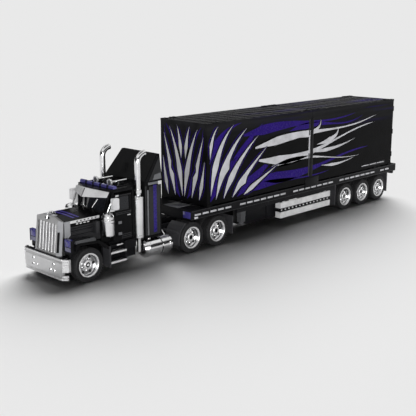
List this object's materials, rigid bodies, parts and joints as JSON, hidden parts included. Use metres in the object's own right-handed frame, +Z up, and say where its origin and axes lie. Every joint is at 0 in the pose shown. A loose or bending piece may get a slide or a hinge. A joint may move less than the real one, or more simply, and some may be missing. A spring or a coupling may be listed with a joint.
{
  "type": "model articulated lorry",
  "caption": "Construction-set model of a long-nose tractor with a sleeper cab, hinged to a semi-trailer that carries boxes with opening rear doors.",
  "frame": {"origin": "on the ground, at the middle of the model's length and width", "axes": "+X forward, +Y to the driver's left, +Z up"},
  "size_m": [1.041, 0.1348, 0.2519],
  "materials": {
    "black_plastic": "moulded black plastic, semi-gloss",
    "grey_plastic": "dark grey moulded plastic",
    "chrome": "bright metallised plastic",
    "violet_plastic": "deep violet moulded plastic",
    "tyre_rubber": "matt black rubber",
    "glazing": "smoked clear plastic",
    "printed_panel": "black panel with violet and silver flames",
    "silver_plastic": "silver moulded plastic"
  },
  "bodies": {
    "tractor": {"tractor_frame": "black_plastic", "front_axle": "grey_plastic", "fifth_wheel": "grey_plastic", "bumper": "chrome", "grille": "chrome", "engine_housing": "grey_plastic", "hood": "black_plastic", "fenders": "black_plastic", "headlamps": "violet_plastic", "air_cleaners": "chrome", "cab_tub": "black_plastic", "cab_cowl": "black_plastic", "windscreen": "glazing", "cab_roof": "black_plastic", "sun_visor": "chrome", "roof_lamps": "violet_plastic", "mirror_left": "chrome", "mirror_right": "chrome", "air_horns": "chrome", "cab_interior": "grey_plastic", "sleeper": "black_plastic", "roof_fairing": "black_plastic", "exhaust_stacks": "chrome", "fuel_tanks": "chrome", "side_steps": "grey_plastic", "mudflaps": "black_plastic"},
    "door_left": {"door_left": "black_plastic", "door_glass_left": "glazing"},
    "door_right": {"door_right": "black_plastic", "door_glass_right": "glazing"},
    "knuckle_left": {"knuckle_left": "grey_plastic"},
    "knuckle_right": {"knuckle_right": "grey_plastic"},
    "tie_rod": {"tie_rod": "grey_plastic"},
    "front_wheel_left": {"front_rim_left": "chrome", "front_tyre_left": "tyre_rubber"},
    "front_wheel_right": {"front_rim_right": "chrome", "front_tyre_right": "tyre_rubber"},
    "drive_axle_1": {"drive_axle_1": "chrome", "drive_tyres_1": "tyre_rubber"},
    "drive_axle_2": {"drive_axle_2": "chrome", "drive_tyres_2": "tyre_rubber"},
    "trailer": {"trailer_neck": "black_plastic", "trailer_frame": "black_plastic", "trailer_bogie": "grey_plastic", "side_rails": "black_plastic", "landing_legs": "silver_plastic", "side_guards": "silver_plastic", "trailer_flaps": "black_plastic", "box_bases": "black_plastic", "box_roofs": "grey_plastic", "box_side_walls": "printed_panel", "box_end_walls": "printed_panel"},
    "box_door_left": {"box_door_left": "black_plastic"},
    "box_door_right": {"box_door_right": "black_plastic"},
    "trailer_axle_1": {"trailer_axle_1": "chrome", "trailer_tyres_1": "tyre_rubber"},
    "trailer_axle_2": {"trailer_axle_2": "chrome", "trailer_tyres_2": "tyre_rubber"},
    "trailer_axle_3": {"trailer_axle_3": "chrome", "trailer_tyres_3": "tyre_rubber"}
  },
  "joints": [
    {"name": "steer_left", "type": "hinge", "parent": "tractor", "child": "knuckle_left", "pos_m": [0.4695, 0.04, 0.0312], "axis": [0, 0, 1], "range_deg": [-30, 30]},
    {"name": "steer_right", "type": "hinge", "parent": "tractor", "child": "knuckle_right", "pos_m": [0.4695, -0.04, 0.0312], "axis": [0, 0, 1], "range_deg": [-30, 30]},
    {"name": "tie_rod_swing", "type": "hinge", "parent": "knuckle_left", "child": "tie_rod", "pos_m": [0.4455, 0.04, 0.0272], "axis": [0, 0, 1], "range_deg": [-30, 30]},
    {"name": "front_spin_left", "type": "hinge", "parent": "knuckle_left", "child": "front_wheel_left", "pos_m": [0.4695, 0.056, 0.0312], "axis": [0, 1, 0], "continuous": true},
    {"name": "front_spin_right", "type": "hinge", "parent": "knuckle_right", "child": "front_wheel_right", "pos_m": [0.4695, -0.056, 0.0312], "axis": [0, 1, 0], "continuous": true},
    {"name": "door_left_hinge", "type": "hinge", "parent": "tractor", "child": "door_left", "pos_m": [0.3975, 0.05, 0.1], "axis": [0, 0, -1], "range_deg": [0, 65]},
    {"name": "door_right_hinge", "type": "hinge", "parent": "tractor", "child": "door_right", "pos_m": [0.3975, -0.05, 0.1], "axis": [0, 0, 1], "range_deg": [0, 65]},
    {"name": "trailer_swing", "type": "hinge", "parent": "tractor", "child": "trailer", "pos_m": [0.1815, 0, 0.062], "axis": [0, 0, 1], "range_deg": [-80, 80]},
    {"name": "box_door_left_hinge", "type": "hinge", "parent": "trailer", "child": "box_door_left", "pos_m": [-0.4965, 0.06515, 0.17], "axis": [0, 0, -1], "range_deg": [0, 120]},
    {"name": "box_door_right_hinge", "type": "hinge", "parent": "trailer", "child": "box_door_right", "pos_m": [-0.4965, -0.06515, 0.17], "axis": [0, 0, 1], "range_deg": [0, 120]},
    {"name": "drive_spin_1", "type": "hinge", "parent": "tractor", "child": "drive_axle_1", "pos_m": [0.2175, 0, 0.0312], "axis": [0, 1, 0], "continuous": true},
    {"name": "drive_spin_2", "type": "hinge", "parent": "tractor", "child": "drive_axle_2", "pos_m": [0.1455, 0, 0.0312], "axis": [0, 1, 0], "continuous": true},
    {"name": "trailer_spin_1", "type": "hinge", "parent": "trailer", "child": "trailer_axle_1", "pos_m": [-0.3005, 0, 0.0312], "axis": [0, 1, 0], "continuous": true},
    {"name": "trailer_spin_2", "type": "hinge", "parent": "trailer", "child": "trailer_axle_2", "pos_m": [-0.3725, 0, 0.0312], "axis": [0, 1, 0], "continuous": true},
    {"name": "trailer_spin_3", "type": "hinge", "parent": "trailer", "child": "trailer_axle_3", "pos_m": [-0.4445, 0, 0.0312], "axis": [0, 1, 0], "continuous": true}
  ],
  "couplings": [
    {"joint": "steer_right", "follows": "steer_left", "ratio": 1},
    {"joint": "tie_rod_swing", "follows": "steer_left", "ratio": -1}
  ]
}
